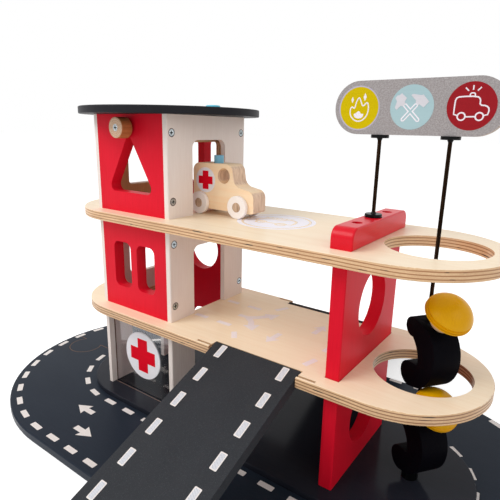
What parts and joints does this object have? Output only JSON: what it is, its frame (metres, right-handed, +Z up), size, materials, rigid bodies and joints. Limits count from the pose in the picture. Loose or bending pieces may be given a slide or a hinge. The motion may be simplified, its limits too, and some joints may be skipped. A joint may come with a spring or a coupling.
{
  "type": "toy fire station",
  "caption": "Wooden toy fire station: road base, lift tower with a crank, decks on a red board, folding ramps, rolling ambulance, sign on rods and figures on a pole.",
  "frame": {"origin": "middle of the underside of the road base, on the surface it stands on", "axes": "+X along the decks from the lift tower to the sign, +Y to the back, away from the knob, +Z up"},
  "size_m": [0.616, 0.6701, 0.3415],
  "materials": {
    "birch_plywood": "clear-lacquered birch plywood with a striped edge",
    "natural_plywood": "bare plywood",
    "natural_beech": "clear-lacquered beech",
    "slate_paint": "dark slate paint on wood, satin",
    "red_paint": "bright red paint on wood, satin",
    "white_paint": "white paint on wood, satin",
    "bright_steel": "bright zinc plate",
    "dark_steel": "dark plated steel rod",
    "black_plastic": "black moulded plastic",
    "clear_acrylic": "clear acrylic sheet",
    "grey_print": "grey speckled print on wood",
    "light_blue_paint": "light blue paint on wood",
    "black_paint": "black paint on wood, satin",
    "yellow_paint": "warm yellow paint on wood",
    "white_cord": "thin twisted cotton cord"
  },
  "bodies": {
    "station": {"back_board": "red_paint", "base_front": "slate_paint", "base_rear": "slate_paint", "cap_block": "red_paint", "clear_pane": "clear_acrylic", "front_board_middle": "red_paint", "front_board_upper": "red_paint", "left_wall_ground": "white_paint", "left_wall_middle": "white_paint", "left_wall_upper": "white_paint", "lower_deck": "birch_plywood", "plinth": "slate_paint", "pole": "dark_steel", "pole_flange": "black_plastic", "right_wall_ground": "white_paint", "right_wall_middle": "white_paint", "right_wall_upper": "white_paint", "rod_flange": "black_plastic", "roof_board": "slate_paint", "roof_light": "light_blue_paint", "short_rod": "dark_steel", "sign_board": "grey_print", "sign_caps": "black_plastic", "support_board": "red_paint", "upper_deck": "birch_plywood", "wall_screws": "bright_steel"},
    "front_ramp": {"front_ramp": "slate_paint", "front_ramp_pin": "bright_steel"},
    "rear_ramp": {"rear_ramp": "slate_paint", "rear_ramp_pin": "bright_steel"},
    "lift_cabin": {"cabin_floor": "natural_plywood", "cabin_left_panel": "natural_plywood", "cabin_right_panel": "natural_plywood", "cabin_top": "natural_plywood", "cord_knot": "white_cord", "hoist_cord": "white_cord"},
    "winch": {"winch_knob": "natural_beech", "knob_screw": "bright_steel", "winch_shaft": "natural_beech", "cord_winding": "white_cord"},
    "ambulance": {"ambulance_body": "natural_beech", "ambulance_light": "light_blue_paint"},
    "ambulance_rear_axle": {"rear_axle": "natural_beech", "rear_wheels": "white_paint"},
    "ambulance_front_axle": {"front_axle": "natural_beech", "front_wheels": "white_paint"},
    "lower_figure": {"lower_figure_body": "black_paint", "lower_figure_head": "natural_beech", "lower_figure_helmet": "yellow_paint"},
    "upper_figure": {"upper_figure_body": "black_paint", "upper_figure_head": "natural_beech", "upper_figure_helmet": "yellow_paint"}
  },
  "joints": [
    {"name": "front_ramp_fold", "type": "hinge", "parent": "station", "child": "front_ramp", "pos_m": [0.0535, -0.0695, 0.11091], "axis": [-1, 0, 0], "range_deg": [0, 100]},
    {"name": "rear_ramp_fold", "type": "hinge", "parent": "station", "child": "rear_ramp", "pos_m": [0.0535, 0.0695, 0.11091], "axis": [1, 0, 0], "range_deg": [0, 100]},
    {"name": "cabin_lift", "type": "slide", "parent": "station", "child": "lift_cabin", "axis": [0, 0, 1], "range_m": [-0.1987, 0], "deforming": ["hoist_cord"]},
    {"name": "winch_turn", "type": "hinge", "parent": "station", "child": "winch", "pos_m": [-0.1055, -0.06, 0.3028], "axis": [0, -1, 0], "range_deg": [-2040, 10]},
    {"name": "ambulance_roll", "type": "slide", "parent": "station", "child": "ambulance", "axis": [1, 0, 0], "range_m": [0, 0.1]},
    {"name": "rear_wheels_turn", "type": "hinge", "parent": "ambulance", "child": "ambulance_rear_axle", "pos_m": [-0.0554, 0, 0.2312], "axis": [0, 1, 0], "range_deg": [-10, 530]},
    {"name": "front_wheels_turn", "type": "hinge", "parent": "ambulance", "child": "ambulance_front_axle", "pos_m": [-0.0075, 0, 0.2312], "axis": [0, 1, 0], "range_deg": [-10, 530]},
    {"name": "lower_figure_slide", "type": "slide", "parent": "station", "child": "lower_figure", "axis": [0, 0, 1], "range_m": [0, 0.05]},
    {"name": "upper_figure_slide", "type": "slide", "parent": "lower_figure", "child": "upper_figure", "axis": [0, 0, 1], "range_m": [0, 0.058]}
  ],
  "couplings": [
    {"joint": "winch_turn", "follows": "cabin_lift", "rad_per_m": 178.57},
    {"joint": "rear_wheels_turn", "follows": "ambulance_roll", "rad_per_m": 90.909},
    {"joint": "front_wheels_turn", "follows": "ambulance_roll", "rad_per_m": 90.909}
  ]
}
